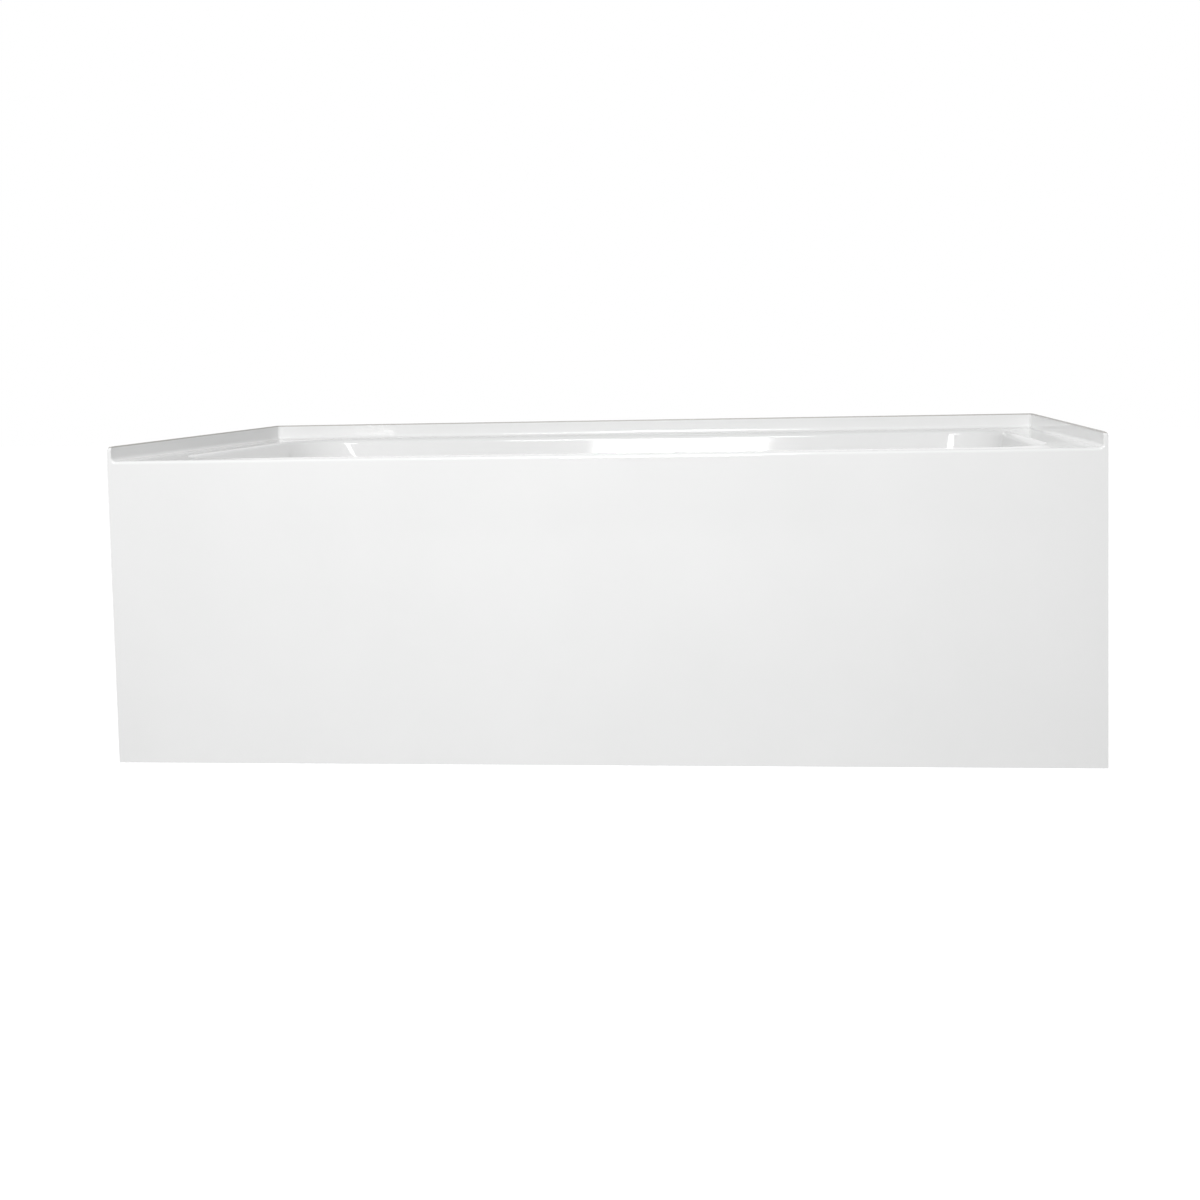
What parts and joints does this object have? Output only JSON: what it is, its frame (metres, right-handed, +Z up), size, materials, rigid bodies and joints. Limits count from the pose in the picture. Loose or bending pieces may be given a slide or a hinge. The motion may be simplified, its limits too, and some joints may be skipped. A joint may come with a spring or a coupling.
{
  "type": "alcove bathtub",
  "caption": "Alcove bathtub with flat front skirt, three-sided tiling flange, sloped backrest, levelling feet and lever-worked pop-up waste and overflow.",
  "frame": {"origin": "middle of the footprint, on the floor", "axes": "+X along the length to the waste end, +Y from the skirt to the back wall, +Z up"},
  "size_m": [1.524, 0.813, 0.504],
  "materials": {
    "acrylic_white": "high gloss sanitary acrylic",
    "fibreglass": "chopped-strand laminate",
    "timber": "sawn softwood",
    "board": "plywood",
    "galvanised_steel": "zinc plated",
    "chrome": "polished",
    "brass": "rough drawn",
    "spring_steel": "bright wire",
    "black_rubber": "moulded",
    "pad_rubber": "moulded"
  },
  "bodies": {
    "tub": {"apron_battens": "timber", "apron_brackets": "galvanised_steel", "apron_panel": "acrylic_white", "base_board": "board", "bracket_screws": "galvanised_steel", "drain_flange": "chrome", "drain_gasket": "black_rubber", "fibreglass_backing": "fibreglass", "jam_nuts": "galvanised_steel", "lever_pin": "brass", "overflow_elbow": "brass", "overflow_gasket": "black_rubber", "overflow_plate": "chrome", "overflow_tube": "brass", "plate_screws": "chrome", "rail_nuts": "galvanised_steel", "rail_screws": "galvanised_steel", "slip_nuts": "brass", "slip_washers": "black_rubber", "support_rails": "galvanised_steel", "tub_shell": "acrylic_white", "waste_shoe": "brass", "waste_tee": "brass", "waste_tube": "brass"},
    "trip_lever": {"trip_lever": "chrome"},
    "linkage": {"linkage_rod": "brass", "linkage_nut": "brass", "linkage_spring": "spring_steel"},
    "rocker": {"rocker_arm": "brass"},
    "stopper": {"stopper": "chrome", "stopper_ring": "black_rubber"},
    "foot_front_left": {"foot_stud_front_left": "galvanised_steel", "foot_pad_front_left": "pad_rubber"},
    "foot_back_left": {"foot_stud_back_left": "galvanised_steel", "foot_pad_back_left": "pad_rubber"},
    "foot_front_right": {"foot_stud_front_right": "galvanised_steel", "foot_pad_front_right": "pad_rubber"},
    "foot_back_right": {"foot_stud_back_right": "galvanised_steel", "foot_pad_back_right": "pad_rubber"}
  },
  "joints": [
    {"name": "lever_tilt", "type": "hinge", "parent": "tub", "child": "trip_lever", "pos_m": [0.67198, 0, 0.39042], "axis": [0, -1, 0], "range_deg": [0, 25]},
    {"name": "link_lift", "type": "slide", "parent": "tub", "child": "linkage", "axis": [0, 0, 1], "range_m": [0, 0.0154]},
    {"name": "rocker_tilt", "type": "hinge", "parent": "tub", "child": "rocker", "pos_m": [0.59548, 0, 0.04135], "axis": [0, -1, 0], "range_deg": [0, 7.9]},
    {"name": "stopper_drop", "type": "slide", "parent": "tub", "child": "stopper", "axis": [0, 0, -1], "range_m": [0, 0.00901]},
    {"name": "foot_screw_front_left", "type": "slide", "parent": "tub", "child": "foot_front_left", "axis": [0, 0, 1], "range_m": [-0.015, 0.01]},
    {"name": "foot_screw_back_left", "type": "slide", "parent": "tub", "child": "foot_back_left", "axis": [0, 0, 1], "range_m": [-0.015, 0.01]},
    {"name": "foot_screw_front_right", "type": "slide", "parent": "tub", "child": "foot_front_right", "axis": [0, 0, 1], "range_m": [-0.015, 0.01]},
    {"name": "foot_screw_back_right", "type": "slide", "parent": "tub", "child": "foot_back_right", "axis": [0, 0, 1], "range_m": [-0.015, 0.01]}
  ],
  "couplings": [
    {"joint": "link_lift", "follows": "lever_tilt", "m_per_rad": 0.035118},
    {"joint": "rocker_tilt", "follows": "lever_tilt", "ratio": 0.31501},
    {"joint": "stopper_drop", "follows": "lever_tilt", "m_per_rad": 0.020626}
  ]
}
